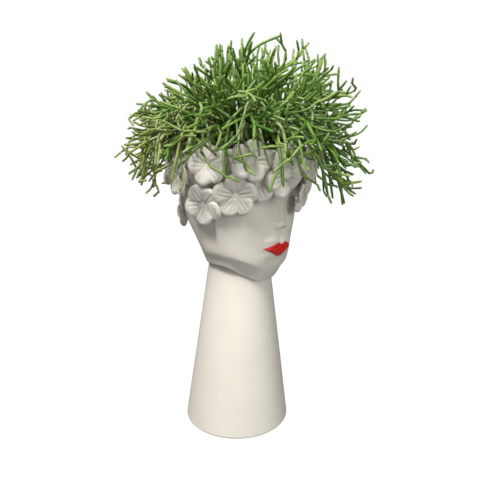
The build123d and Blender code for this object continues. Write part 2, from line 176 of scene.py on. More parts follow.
def finish_with(piece, kind, **settings):
    """Add a modifier to a piece and apply it."""
    pick(piece)
    modifier = piece.modifiers.new(kind.title(), kind)
    for name, value in settings.items():
        setattr(modifier, name, value)
    bpy.ops.object.modifier_apply(modifier=modifier.name)


def fuse(piece, cell=skin_cell, rounds=0):
    """Give a piece one skin of a cell's fineness, and smooth it some rounds."""
    finish_with(piece, "REMESH", mode="VOXEL", voxel_size=cell * MM)
    if rounds:
        finish_with(piece, "SMOOTH", factor=0.5, iterations=rounds)


def read_places(piece):
    """A mesh's vertices in millimetres."""
    places = np.empty(len(piece.data.vertices) * 3)
    piece.data.vertices.foreach_get("co", places)
    return places.reshape(-1, 3) / MM


def write_places(piece, places):
    piece.data.vertices.foreach_set("co", (places * MM).ravel())
    piece.data.update()


def keep_values(piece, **values):
    """Store numbers for the vertices, one each or one for all, for the material to read."""
    count = len(piece.data.vertices)
    for name, value in values.items():
        layer = piece.data.attributes.new(name, "FLOAT", "POINT")
        layer.data.foreach_set("value", np.broadcast_to(value, count).astype(np.float32))


def cad_copy(node, name):
    """A welded copy of a CAD node's mesh, as a new piece."""
    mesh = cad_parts[node].data.copy()
    mesh.name = name
    mesh.materials.clear()
    piece = add_thing(name, mesh)
    pick(piece)
    if mesh.has_custom_normals:
        bpy.ops.mesh.customdata_custom_splitnormals_clear()
    bpy.ops.object.mode_set(mode="EDIT")
    bpy.ops.mesh.select_all(action="SELECT")
    bpy.ops.mesh.remove_doubles(threshold=weld_gap * MM)
    bpy.ops.object.mode_set(mode="OBJECT")
    return piece


def ramp(values, start, run):
    """From 0 at the start to 1 at the end of a run, which may lead back, with soft ends."""
    share = np.clip((values - start) / run, 0, 1)
    return share * share * (3 - 2 * share)


def settle_piece(piece, body, slot, material, *nodes):
    """Give a finished piece its material and body, and hide the solids it stands for. The slot is
    not used.
    """
    piece.data.materials.clear()
    piece.data.materials.append(material)
    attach(piece, body)
    if nodes:
        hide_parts(*nodes)


# ---------------------------------------------------------------- shader groups


def new_group(name, inputs, outputs):
    """An empty node group of number sockets; gives the group and what to read and feed in it."""
    group = bpy.data.node_groups.new(name, "ShaderNodeTree")
    for socket, value in inputs.items():
        made = group.interface.new_socket(socket, in_out="INPUT", socket_type="NodeSocketFloat")
        made.default_value = value
    for socket in outputs:
        group.interface.new_socket(socket, in_out="OUTPUT", socket_type="NodeSocketFloat")
    given, out = group.nodes.new("NodeGroupInput"), group.nodes.new("NodeGroupOutput")
    return group, given.outputs, out.inputs


def add_node(tree, kind, sockets=None, **settings):
    """Add a shader node; sockets maps an input to a value or to the output that feeds it."""
    node = tree.nodes.new("ShaderNode" + kind)
    for name, value in settings.items():
        setattr(node, name, value)
    for name, value in (sockets or {}).items():
        if isinstance(value, bpy.types.NodeSocket):
            tree.links.new(value, node.inputs[name])
        else:
            node.inputs[name].default_value = value
    return node


def calculate(tree, operation, *values):
    node = add_node(tree, "Math", dict(enumerate(values)), operation=operation)
    return node.outputs[0]


def mix_colours(tree, share, first, second):
    """A share of the way from one colour to another, each a socket or red, green and blue."""
    first, second = ((*c, 1) if isinstance(c, tuple) else c for c in (first, second))
    node = add_node(tree, "Mix", {0: share, 6: first, 7: second}, data_type="RGBA")
    return node.outputs[2]


def stretch(tree, value, low, high, to_low=0.0, to_high=1.0):
    node = add_node(tree, "MapRange", {0: value, 1: low, 2: high, 3: to_low, 4: to_high})
    return node.outputs[0]


def noise_at(tree, place, scale, detail=3.0, roughness=0.5):
    sockets = {"Vector": place, "Scale": scale, "Detail": detail, "Roughness": roughness}
    return add_node(tree, "TexNoise", sockets).outputs["Fac"]


def object_place(tree):
    return add_node(tree, "TexCoord").outputs["Object"]


def stored_value(tree, name):
    return add_node(tree, "Attribute", attribute_name=name).outputs["Fac"]


def make_cast_group():
    """Hand-cast surface: broad cloudiness, a fine grain and small pits, as masks and a height."""
    group, given, out = new_group(
        "cast_surface", {"Cloud Scale": 18.0, "Grain Scale": 900.0}, ("Cloud", "Speck", "Height")
    )
    place = object_place(group)
    cloud = noise_at(group, place, given["Cloud Scale"], 4.0, 0.55)
    cloud = stretch(group, cloud, 0.32, 0.68)
    grain = noise_at(group, place, given["Grain Scale"], 2.0, 0.6)
    sockets = {"Vector": place, "Scale": 420.0}
    cells = add_node(group, "TexVoronoi", sockets).outputs["Distance"]
    speck = stretch(group, cells, 0.10, 0.04)
    ripple = noise_at(group, place, 75.0, 2.0, 0.5)
    height = calculate(group, "MULTIPLY", grain, 0.25)
    height = calculate(group, "MULTIPLY_ADD", ripple, 0.6, height)
    height = calculate(group, "MULTIPLY_ADD", speck, -0.25, height)
    for name, value in (("Cloud", cloud), ("Speck", speck), ("Height", height)):
        group.links.new(value, out[name])
    return group


def make_skin_group():
    """Plant skin: patches of older growth, and a fine unevenness for the bump."""
    group, given, out = new_group("plant_skin", {"Patch Scale": 35.0}, ("Patch", "Fleck", "Height"))
    place = object_place(group)
    patch = noise_at(group, place, given["Patch Scale"], 3.0, 0.6)
    patch = stretch(group, patch, 0.35, 0.65)
    fleck = noise_at(group, place, 480.0, 3.0, 0.6)
    ridge = noise_at(group, place, 240.0, 2.0, 0.5)
    height = calculate(group, "ADD", ridge, calculate(group, "MULTIPLY", fleck, 0.5))
    for name, value in (("Patch", patch), ("Fleck", fleck), ("Height", height)):
        group.links.new(value, out[name])
    return group


cast_surface = make_cast_group()
plant_skin = make_skin_group()


def place_group(tree, group, **values):
    """Use a group in a material, with some inputs set; gives its outputs."""
    node = add_node(tree, "Group", node_tree=group)
    for name, value in values.items():
        node.inputs[name.replace("_", " ")].default_value = value
    return node.outputs


# ---------------------------------------------------------------- materials

# Colours are linear red, green and blue. Of a pair, the finish drifts from one to the other.
ceramic_colours = (0.83, 0.79, 0.715), (0.78, 0.745, 0.675)
# The petals are the head's own ceramic, painted lighter to stand for the light the flowers catch
petal_colours_painted_lighter = (0.92, 0.885, 0.81), (0.87, 0.835, 0.765)
pit_colour = (0.42, 0.38, 0.31)
# Painted shade for the creases of the petals' veins
vein_shade_colour = (0.60, 0.55, 0.47)
lip_colours = (0.80, 0.017, 0.008), (0.66, 0.011, 0.006)
young_greens = (0.055, 0.180, 0.010), (0.260, 0.400, 0.070)
# The old greens are dark both for older growth and as painted shade deep inside the bush
old_and_shaded_greens = (0.008, 0.045, 0.002), (0.042, 0.150, 0.006)
olive_greens = (0.160, 0.205, 0.032), (0.390, 0.460, 0.120)
fibre_brown = (0.150, 0.088, 0.034)
fleck_green = (0.30, 0.40, 0.13)
bloom_green = (0.340, 0.430, 0.180)
mix_browns = (0.020, 0.013, 0.008), (0.085, 0.052, 0.028)
bark_colour = (0.21, 0.15, 0.085)
pot_greys = (0.016, 0.018, 0.016), (0.045, 0.046, 0.042)
rubber_greys = (0.012, 0.012, 0.012), (0.04, 0.038, 0.036)


def new_material(name):
    """A material with its Principled shader; gives the material, its tree and the shader."""
    material = bpy.data.materials.new(name)
    material.use_nodes = True
    tree = material.node_tree
    return material, tree, tree.nodes["Principled BSDF"]


def dress(tree, shader, colour, rough, height, depth):
    """Feed a shader its colour, its roughness, and the bump of a height that is depth mm deep."""
    sockets = {"Height": height, "Distance": depth * MM, "Strength": 1.0}
    normal = add_node(tree, "Bump", sockets).outputs["Normal"]
    for name, value in (("Base Color", colour), ("Roughness", rough), ("Normal", normal)):
        tree.links.new(value, shader.inputs[name])


def add_veins(tree, colour, height):
    """Fine veins that run out from the eye of a flower and fade along its petals, their creases
    darkened with painted shade.
    """
    ray, out = stored_value(tree, "petal_ray"), stored_value(tree, "petal_out")
    waver = calculate(tree, "MULTIPLY", noise_at(tree, object_place(tree), 160.0, 2.0), 5.0)
    turns = calculate(tree, "MULTIPLY_ADD", ray, 22.0, waver)
    wave = calculate(tree, "ABSOLUTE", calculate(tree, "SINE", turns))
    vein = calculate(tree, "SUBTRACT", 1.0, calculate(tree, "POWER", wave, 0.6))
    inner = stretch(tree, out, 0.95, 0.25)
    fade = calculate(tree, "MULTIPLY", inner, stretch(tree, out, 0.08, 0.22))
    vein = calculate(tree, "MULTIPLY", vein, fade)
    # The veins' creases are darkened with painted shade
    colour = mix_colours(tree, calculate(tree, "MULTIPLY", vein, 0.35), colour, vein_shade_colour)
    return colour, calculate(tree, "MULTIPLY_ADD", vein, -2.6, height)


def make_cast(
    name, colours, roughs, depth, drift=1.0, scales=(18.0, 900.0), pits=0.0, veined=False
):
    """A cast or moulded material, whose colour drifts a share of the way between its two."""
    material, tree, shader = new_material(name)
    cast = place_group(tree, cast_surface, Cloud_Scale=scales[0], Grain_Scale=scales[1])
    colour = mix_colours(tree, calculate(tree, "MULTIPLY", cast["Cloud"], drift), *colours)
    pits = calculate(tree, "MULTIPLY", cast["Speck"], pits)
    colour, height = mix_colours(tree, pits, colour, pit_colour), cast["Height"]
    if veined:
        colour, height = add_veins(tree, colour, height)
    dress(tree, shader, colour, stretch(tree, cast["Cloud"], 0, 1, *roughs), height, depth)
    return material


def make_stems():
    """Green stems: dark and brownish near the root, the dark partly painted shade inside the bush,
    yellow-green at the tips, uneven between.
    """
    material, tree, shader = new_material("stem_skin")
    skin = place_group(tree, plant_skin)
    tone = stored_value(tree, "tone")
    # Nearness to the root darkens the stems, for their age and as painted shade inside the bush
    age_and_shade = calculate(tree, "MULTIPLY_ADD", skin["Patch"], 0.30, stored_value(tree, "growth"))
    young = mix_colours(tree, tone, *young_greens)
    old_and_shaded = mix_colours(tree, tone, *old_and_shaded_greens)
    colour = mix_colours(tree, stretch(tree, age_and_shade, 0.35, 1.10), old_and_shaded, young)
    olive = calculate(tree, "MULTIPLY", stored_value(tree, "olive"), 0.65)
    colour = mix_colours(tree, olive, colour, mix_colours(tree, tone, *olive_greens))
    fibre = stretch(tree, skin["Fleck"], 0.30, 0.62)
    fibre = calculate(tree, "MULTIPLY", stored_value(tree, "moss"), fibre)
    colour = mix_colours(tree, fibre, colour, fibre_brown)
    fleck = stretch(tree, skin["Fleck"], 0.58, 0.72, 0.0, 0.35)
    colour = mix_colours(tree, fleck, colour, fleck_green)
    bloom = stretch(tree, skin["Patch"], 0, 1, 0.35, 0.75)
    bloom = calculate(tree, "MULTIPLY", stored_value(tree, "pale"), bloom)
    colour = mix_colours(tree, bloom, colour, bloom_green)
    rough = stretch(tree, skin["Patch"], 0, 1, 0.38, 0.52)
    dress(tree, shader, colour, rough, skin["Height"], 0.25)
    return material


def make_mix():
    """Potting mix: dark crumbs with paler bits of bark."""
    material, tree, shader = new_material("potting_mix_crumbs")
    skin = place_group(tree, plant_skin, Patch_Scale=140.0)
    colour = mix_colours(tree, skin["Patch"], *mix_browns)
    bark = stretch(tree, skin["Fleck"], 0.60, 0.70, 0.0, 0.7)
    colour = mix_colours(tree, bark, colour, bark_colour)
    rough = stretch(tree, skin["Fleck"], 0.3, 0.7, 0.8, 1.0)
    dress(tree, shader, colour, rough, skin["Height"], 1.2)
    return material


ceramic_look = {"roughs": (0.46, 0.60), "depth": 0.22, "pits": 0.12}
plastic_look = {"depth": 0.10, "drift": 0.6, "scales": (40.0, 1500.0)}
ceramic = make_cast("cast_ceramic", ceramic_colours, **ceramic_look)
petal_ceramic_with_painted_light = make_cast("petal_ceramic_with_painted_light", petal_colours_painted_lighter, veined=True, **ceramic_look)
pot_plastic = make_cast("pot_plastic", pot_greys, (0.44, 0.60), **plastic_look)
stopper_rubber = make_cast("stopper_rubber", rubber_greys, (0.66, 0.82), **plastic_look)
lip_paint = make_cast("lip_paint", lip_colours, (0.26, 0.38), 0.12, scales=(120.0, 1400.0))
lip_shader = lip_paint.node_tree.nodes["Principled BSDF"]
lip_shader.inputs["Coat Weight"].default_value = 0.25
lip_shader.inputs["Coat Roughness"].default_value = 0.2
stem_skin = make_stems()
mix_crumbs = make_mix()

# ---------------------------------------------------------------- camera, lights and stage

# The camera's place and slope come from the photograph's lines; the lens from its field of view.
camera_azimuth = math.radians(-48)
camera_distance = 600 * MM
camera_height = 360 * MM
camera_pitch = math.radians(9.227)
centre_y = -6.3 * MM

camera_data = bpy.data.cameras.new("camera")
camera_data.lens = 32.1145
camera_data.sensor_width = 36.0
camera = add_thing("camera", camera_data)
camera.location = (
    math.sin(camera_azimuth) * camera_distance,
    -math.cos(camera_azimuth) * camera_distance + centre_y,
    camera_height,
)
camera.rotation_euler = (math.radians(90) - camera_pitch, 0, camera_azimuth)
bpy.context.scene.camera = camera

lamp_aim = Vector((0, 0, 0.26))
warm, cool, plain = (1.0, 0.970, 0.945), (0.99, 1.0, 0.97), (1, 1, 1)

# For each lamp: its bearing from the camera, leftwards positive, and its elevation, in degrees;
# its distance from the head and its width, in metres; its power in watts, and its colour
lamps = {
    "key_lamp": (31, 50, 1.7, 0.50, 36, warm),
    "fill_lamp": (-44, 22, 2.2, 1.5, 20, cool),
    "front_lamp": (8, 18, 2.2, 1.7, 4, cool),
    "far_lamp": (178, 12, 2.2, 1.7, 13, cool),
    "back_lamp": (160, 55, 2.0, 1.2, 5, plain),
}
for name, (bearing, elevation, distance, width, power, colour) in lamps.items():
    data = bpy.data.lights.new(name, "AREA")
    data.shape, data.size, data.energy, data.color = "DISK", width, power, colour
    turn, rise = camera_azimuth - math.radians(bearing), math.radians(elevation)
    away = Vector(
        (math.sin(turn) * math.cos(rise), -math.cos(turn) * math.cos(rise), math.sin(rise))
    )
    lamp = add_thing(name, data)
    lamp.location = lamp_aim + distance * away
    lamp.rotation_euler = away.to_track_quat("Z", "Y").to_euler()

# The sky is white to look at and lights little. The floor is white to look at, with a little
# of the light and shadow that falls on it, and grey to what stands on it.
sky_light = 0.07
floor_radius = 6.0
floor_grey = (0.20, 0.20, 0.197, 1)
floor_glow = 0.985
white = (1, 1, 1, 1)

world = bpy.data.worlds.new("studio")
bpy.context.scene.world = world
world.use_nodes = True
sky = world.node_tree
sky.nodes.clear()
rays = add_node(sky, "LightPath").outputs
seen = calculate(sky, "MAXIMUM", rays["Is Camera Ray"], rays["Is Transmission Ray"])
strength = stretch(sky, seen, 0, 1, sky_light, 1.0)
background = add_node(sky, "Background", {"Color": white, "Strength": strength})
add_node(sky, "OutputWorld", {"Surface": background.outputs[0]})

bpy.ops.mesh.primitive_circle_add(vertices=96, radius=floor_radius, fill_type="NGON")
floor = bpy.context.active_object
floor.name = "studio_floor"
floor_paper = bpy.data.materials.new("floor_paper")
floor_paper.use_nodes = True
paper = floor_paper.node_tree
paper.nodes.clear()
matte = add_node(paper, "BsdfDiffuse", {"Color": floor_grey}).outputs[0]
glow = add_node(paper, "Emission", {"Color": white, "Strength": floor_glow}).outputs[0]
both = add_node(paper, "AddShader", {0: matte, 1: glow}).outputs[0]
ray = add_node(paper, "LightPath").outputs["Is Camera Ray"]
chosen = add_node(paper, "MixShader", {0: ray, 1: matte, 2: both})
add_node(paper, "OutputMaterial", {"Surface": chosen.outputs[0]})
floor.data.materials.append(floor_paper)

bpy.context.scene.view_settings.view_transform = "Standard"

# ---------------------------------------------------------------- head, neck and lips

# The face. Heights are over the foot, sides are from the face's middle, and how far a plane stands
# out is from the head's plain oval, in millimetres. A ramp is where it starts and how far it runs.
face_turn, fine_turn = math.radians(118), 1.15
face_ramps, turn_run = ((209, 5), (338, -10)), -0.35
fine_low, fine_top = 214, 330
outside = -7.5
ledge_top, ledge_slope = 246, -0.75
cheek_swell, cheek_ramp, cheek_reach = 2.4, (8, 26), 17
jaw_fall, jaw_depth, jaw_rise, jaw_ramp = 0.68, -8.0, 5.0, (42, 14)
eye_fall, eye_depth = -0.42, -6.3
muzzle_out, muzzle_half, muzzle_top, corner_rise = 3.3, 12, 266, 5
muzzle_fall, muzzle_side_fall, lip_fall = 0.46, 0.10, 0.10
muzzle_side, muzzle_turn_back = 18, 0.03
groove_depth, groove_reach, groove_run = 0.8, 2.3, 4
chin_back, chin_ramp, chin_reach = 1.6, (246, -8), 20
nose_half, nostril_half, nostril_ramp, nose_flank = 1.5, 3.9, (299, -7), 1.1
nose_under, nose_slant, nowhere = 289.0, 0.34, -20.0
temple_depth, temple_turn, temple_slant, temple_soft = 1.8, 76, (6.0, 273, 32), 0.05
temple_ramps = (258, 16), (322, -8)

# Slanting lines on the face: how they rise sidewards and upwards, and a side and height on them
jaw_line = 0.441, -0.898, 38, 241.5
brow_line = -0.656, 0.755, 22.8, 283

# Soft spots on the face: how far out, the height and its reach, the side and its reach
lip_hollow = -1.8, 245, 3.4, 0, 14
chin_ball = 1.0, 235, 5.5, 0, 12
corner_hollow = -0.4, 255, 2.2, 26, 8

# The nose's ridge from its tip upwards: heights, and how far it stands out from the oval
ridge_heights = [287.0, 289.8, 292.5, 295.0, 298.5, 304.0, 318.6, 335.0]
ridge_out = [4.2, 4.6, 4.2, 2.8, 0.9, 0.0, -2.4, -3.8]

# Half the mouth, from its middle to its corner: the heights of the lips' lower edge, parting
# and upper edge
mouth_across = [0.0, 3.0, 5.6, 10.0, 15.0, 20.0, 24.0, 27.4]
lip_low = [248.5, 248.8, 249.6, 251.7, 254.6, 257.2, 259.1, 260.3]
lip_parting = [261.0, 261.2, 261.9, 263.0, 262.7, 261.8, 261.0, 260.5]
lip_high = [266.2, 267.0, 268.5, 267.3, 265.4, 263.5, 262.0, 260.8]
lip_columns, lip_rows, lip_end = 121, 49, 27.9
lower_bulge, upper_bulge, lip_lift, bow_dip, bow_reach = 2.7, 1.8, 0.25, 0.5, 3.0
lip_sink, lip_back = 0.35, 2.0


def soft_max(first, second, width):
    """The larger of two surfaces, rounded where they cross. A negative width gives the smaller."""
    gap = np.sqrt((first - second) ** 2 + width**2)
    return 0.5 * (first + second + math.copysign(1, width) * gap)


def spot(*offsets):
    """A soft spot, 1 in its middle; each offset from there is a share of the spot's reach."""
    return np.exp(-sum(offset**2 for offset in offsets))


def smooth_sections(heights):
    """The head's centre, half width and half depth at each height, on a curve through its rows."""
    rows = np.array(head_section_shares)
    knots, values = rows[:, 0], rows[:, 1:]
    gaps = np.diff(knots)
    count = len(knots)
    system, slopes = np.eye(count), np.zeros((count, 3))
    steps = np.diff(values, axis=0) / gaps[:, None]
    for k in range(1, count - 1):
        system[k, k - 1 : k + 2] = gaps[k - 1], 2 * (gaps[k - 1] + gaps[k]), gaps[k]
        slopes[k] = 6 * (steps[k] - steps[k - 1])
    bends = np.linalg.solve(system, slopes)
    share = np.clip((heights - chin_height) / head_height, knots[0], knots[-1])
    k = np.clip(np.searchsorted(knots, share) - 1, 0, count - 2)
    low, high, gap = (share - knots[k])[:, None], (knots[k + 1] - share)[:, None], gaps[k][:, None]
    shares = (
        (bends[k] * high**3 + bends[k + 1] * low**3) / (6 * gap)
        + (values[k] / gap - bends[k] * gap / 6) * high
        + (values[k + 1] / gap - bends[k + 1] * gap / 6) * low
    )
    return shares.T * np.array([[head_half_depth], [head_half_width], [head_half_depth]])


def oval_place(turn, height, out):
    """Places at turns round the head, 0 in front, that stand out from its plain oval."""
    centre, width, depth = smooth_sections(height)
    normal = np.stack([np.sin(turn) / width, -np.cos(turn) / depth], 1)
    normal /= np.linalg.norm(normal, axis=1)[:, None]
    x = width * np.sin(turn) + out * normal[:, 0]
    y = centre - depth * np.cos(turn) + out * normal[:, 1]
    return np.stack([x, y, height], 1)


def beyond(line, side, height):
    """How far places on the face are beyond a slanting line."""
    across, up, line_side, line_height = line
    return across * (side - line_side) + up * (height - line_height)


def cheek_relief(side, height):
    """The cheek, which swells towards the middle, and the flat that falls back under the jaw."""
    jaw = beyond(jaw_line, side, height)
    swell = cheek_swell * ramp(side, *cheek_ramp) * spot(np.minimum(jaw, 0) / cheek_reach)
    cheek = swell - jaw_fall * soft_max(jaw, 0 * jaw, 1.2)
    return soft_max(cheek, jaw_depth + jaw_rise * ramp(side, *jaw_ramp), 0.8)


def muzzle_relief(side, height):
    """The form that carries the lips, with the groove over them."""
    aside = np.minimum(side / muzzle_half, 1)
    above = np.maximum(height - muzzle_top - corner_rise * aside, 0)
    muzzle = muzzle_out - (muzzle_fall + muzzle_side_fall * aside) * above
    muzzle -= lip_fall * np.maximum(muzzle_top - height, 0)
    muzzle -= muzzle_turn_back * np.maximum(side - muzzle_side, 0) ** 2
    return muzzle - groove_depth * spot(side / groove_reach) * ramp(height, muzzle_top, groove_run)


def nose_relief(side, height):
    """The nose's ridge and flanks, cut off underneath."""
    half = nose_half + nostril_half * ramp(height, *nostril_ramp)
    nose = np.interp(height, ridge_heights, ridge_out)
    nose = nose - nose_flank * soft_max(side - half, 0 * side, 1.0)
    return np.where(height < nose_under - nose_slant * side, nowhere, nose)


def face_relief(turn, height):
    """How far the face stands out from the head's plain oval, plane by plane."""

    def dab(out, middle, reach, off_side, side_reach):
        return out * spot((height - middle) / reach, (side - off_side) / side_reach)

    side = np.abs(smooth_sections(height)[1] * np.sin(turn))
    under_brow = beyond(brow_line, side, height)
    eye = soft_max(eye_fall * under_brow, np.full_like(side, eye_depth), 1.5)
    face = soft_max(cheek_relief(side, height), eye, -0.7)
    face = soft_max(face, muzzle_relief(side, height), 0.8) + dab(*lip_hollow)
    face -= chin_back * ramp(height, *chin_ramp) * spot(side / chin_reach)
    face = face + dab(*chin_ball) + dab(*corner_hollow)
    face = soft_max(face, nose_relief(side, height), 0.5)
    slant, middle, run = temple_slant
    edge = np.radians(temple_turn - slant * (height - middle) / run)
    temple = ramp(np.abs(turn), edge, temple_soft)
    for start, run in temple_ramps:
        temple = temple * ramp(height, start, run)
    return face - temple_depth * temple


def head_turns(places):
    """For each place: its turn round the head, and how far it is out from the plain oval."""
    centre, width, depth = smooth_sections(places[:, 2])
    turn = np.arctan2(places[:, 0] / width, (centre - places[:, 1]) / depth)
    base = oval_place(turn, places[:, 2], 0)
    normal = oval_place(turn, places[:, 2], 1) - base
    return turn, ((places - base) * normal).sum(1)


def shape_face(head, relief=None):
    """Bring the outside of the head's front to its plain oval or a relief, with soft borders."""
    places = read_places(head)
    turn, out = head_turns(places)
    height = places[:, 2]
    normals = np.empty(places.size)
    head.data.vertices.foreach_get("normal", normals)
    ledge = (normals[2::3] < ledge_slope) & (height < ledge_top)
    share = ramp(np.abs(turn), face_turn, turn_run) * (out > outside)
    share *= ramp(height, *face_ramps[0]) * ramp(height, *face_ramps[1])
    wanted = relief(turn, height) if relief else np.zeros(len(turn))
    wanted = np.where(ledge, np.minimum(out, wanted), wanted)
    moved = oval_place(turn, height, share * wanted + (1 - share) * out)
    write_places(head, np.where(share[:, None] > 0, moved, places))


def model_head():
    """The cast head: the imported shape, softened as ceramic is, with the face worked in."""
    head = cad_copy("head_pot", "head_casting")
    fuse(head, rounds=4)
    shape_face(head)
    fuse(head, rounds=5)
    mesh = bmesh.new()
    mesh.from_mesh(head.data)
    places = read_places(head)
    turn, out = head_turns(places)
    height = places[:, 2]
    front = (np.abs(turn) < fine_turn) & (out > outside) & (height > fine_low) & (height < fine_top)
    edges = [edge for edge in mesh.edges if all(front[v.index] for v in edge.verts)]
    bmesh.ops.subdivide_edges(mesh, edges=edges, cuts=1, use_grid_fill=True)
    mesh.to_mesh(head.data)
    mesh.free()
    shape_face(head, face_relief)
    return shade(head)


def model_lips():
    """Full painted lips with a bow, a soft parting and sharp corners, lying on the face."""
    columns, rows = lip_columns, lip_rows
    across = np.linspace(-1, 1, columns)[:, None] * mouth_across[-1] * np.ones((1, rows))
    upward = np.linspace(0, 2, rows)[None, :] * np.ones((columns, 1))
    low, parting, high = (
        np.interp(np.abs(across), mouth_across, line) for line in (lip_low, lip_parting, lip_high)
    )
    is_lower = upward < 1
    share = np.where(is_lower, upward, upward - 1)
    height = np.where(is_lower, low + share * (parting - low), parting + share * (high - parting))
    plump = np.sqrt(np.maximum(0, 1 - (np.abs(across) / lip_end) ** 1.7))
    lower = lower_bulge * plump * np.sin(math.pi * share**0.9) ** 0.62
    lower += lip_lift * plump * share
    upper = upper_bulge * plump * np.sin(math.pi * share**0.8) ** 0.62
    upper += lip_lift * plump * (1 - share)
    upper -= bow_dip * spot(across / bow_reach) * share
    out = np.where(is_lower, lower, upper) - lip_sink
    height = height.ravel()
    turn = np.arcsin(across.ravel() / smooth_sections(height)[1])
    face = face_relief(turn, height)
    front = oval_place(turn, height, face + out.ravel())
    back = oval_place(turn, height, face - lip_back)
    grid = np.arange(columns * rows).reshape(columns, rows)
    cells = [grid[:-1, :-1], grid[1:, :-1], grid[1:, 1:], grid[:-1, 1:]]
    cells = np.stack(cells, -1).reshape(-1, 4)
    rim = np.concatenate([grid[:, 0], grid[-1, 1:], grid[-2::-1, -1], grid[0, -2:0:-1]])
    after = np.roll(rim, -1)
    sides = np.stack([rim, grid.size + rim, grid.size + after, after], -1)
    faces = np.concatenate([cells, grid.size + cells[:, (0, 3, 2, 1)], sides]).tolist()
    mesh = bpy.data.meshes.new("painted_lips")
    mesh.from_pydata((np.concatenate([front, back]) * MM).tolist(), [], faces)
    return shade(add_thing("painted_lips", mesh))


head_casting = model_head()
settle_piece(head_casting, "planter", "ceramic", ceramic, "head_pot")
settle_piece(model_lips(), "planter", "lip_paint", lip_paint, "lips")
for node, material in (
    ("neck_pedestal", ceramic),
    ("growing_pot", pot_plastic),
    ("drain_stopper", stopper_rubber),
):
    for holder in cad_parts[node].material_slots:
        holder.material = material

# ---------------------------------------------------------------- flowers

# One flower as it is modelled, in millimetres and degrees
petal_length, petal_width, petal_from_eye = 25.5, 27.0, 14.2
petal_twist_deg, petal_cell = 11, 0.62
boss_back, boss_front, boss_depth, boss_setback = 8.5, 7.0, 22, 12.2

# A petal's creases: the place of each across its half width, and its depth
petal_creases = (0, 1.5), (-0.42, 1.0), (0.40, 1.1), (-0.72, 0.6), (0.70, 0.6)
crease_reach = 0.10


def shape_petal(petal, length, width, chance):
    """A unit ball becomes a broad fan that rises, rolls over at its edge and is creased."""
    across, side, rise = (read_places(petal) * MM).T
    along = (across + 1) / 2
    spread = 0.60 + 0.40 * np.sin(np.minimum(1, along / 0.60) * math.pi / 2)
    edge = np.minimum(1, np.sqrt(across**2 + side**2))
    body = np.sign(rise) * np.abs(rise) ** 0.60 * petal_thickness / 2
    x = petal_from_eye + across * length / 2
    y = side * spread * width / 2
    z = body + 0.15 * (x - petal_from_eye) + chance.uniform(0.8, 2.2) * along * side**2
    z -= 2.3 * np.clip((edge - 0.66) / 0.34, 0, 1) ** 2
    z += 0.5 * along * np.sin(4.5 * side + chance.uniform(0, math.tau))
    front = np.clip(rise * 3, 0, 1)
    fade = front * ramp(along, 0.92, -0.55)
    for place, depth in petal_creases:
        nudge = place + chance.uniform(-0.05, 0.05)
        z -= depth * fade * spot((side - nudge) / crease_reach)
    write_places(petal, np.stack([x, y, z], 1))


def model_petal(number, chance):
    """One of a flower's petals, about the flower's eye."""
    bpy.ops.mesh.primitive_uv_sphere_add(segments=64, ring_count=32, radius=1)
    petal = bpy.context.active_object
    length = petal_length * chance.uniform(0.94, 1.02)
    width = petal_width * chance.uniform(0.92, 1.06)
    shape_petal(petal, length, width, chance)
    turn = math.radians(72 * number + chance.uniform(-5, 5))
    twist = math.radians(petal_twist_deg + chance.uniform(-4, 5))
    dip = math.radians(chance.uniform(-6, 6))
    spin, twist, dip = (
        Matrix.Rotation(angle, 4, axis) for angle, axis in ((turn, "Z"), (twist, "X"), (dip, "Y"))
    )
    about = Matrix.Translation((petal_from_eye * MM, 0, 0))
    petal.data.transform(spin @ (about @ twist @ dip @ about.inverted()))
    return petal


def model_flower(name, seed):
    """One flower about the origin, facing +Z: five petals, a recessed eye and a boss behind."""
    chance = random.Random(seed)
    petals = [model_petal(k, chance) for k in range(5)]
    bpy.ops.mesh.primitive_cone_add(
        vertices=32,
        radius1=boss_back * MM,
        radius2=boss_front * MM,
        depth=boss_depth * MM,
        location=(0, 0, -boss_setback * MM),
    )
    parts = [*petals, bpy.context.active_object]
    flower = petals[0]
    pick(flower)
    for part in parts:
        part.select_set(True)
    bpy.ops.object.transform_apply(location=True, rotation=True, scale=True)
    bpy.ops.object.join()
    flower.name = name
    fuse(flower, petal_cell, rounds=3)
    x, y, _ = read_places(flower).T
    ray = (np.arctan2(y, x) / (math.tau / 5) + 0.5) % 1.0 - 0.5
    keep_values(flower, petal_ray=ray, petal_out=np.hypot(x, y) / petal_width)
    return shade(flower)


def flower_place(bearing, height_share, tilt, spin):
    """The seat of a flower on the head, with Z along the way it faces, as a matrix in metres."""
    height = chin_height + height_share * head_height
    centre, width, depth = section_at(height)
    _, width_above, depth_above = section_at(height + overrun)
    turn = math.radians(bearing)
    seat = Vector((width * math.sin(turn), centre - depth * math.cos(turn), height))
    outward = Vector((math.sin(turn) / width, -math.cos(turn) / depth, 0)).normalized()
    grow = math.hypot(
        (width_above - width) * math.sin(turn), (depth_above - depth) * math.cos(turn)
    )
    pitch = math.radians(tilt) - math.atan(grow / overrun)
    facing = outward * math.cos(pitch) + Vector((0, 0, math.sin(pitch)))
    level = Vector((0, 0, 1)).cross(outward)
    place = Matrix((level, facing.cross(level), facing)).transposed().to_4x4()
    place.translation = seat * MM
    return place @ Matrix.Rotation(math.radians(spin), 4, "Z")


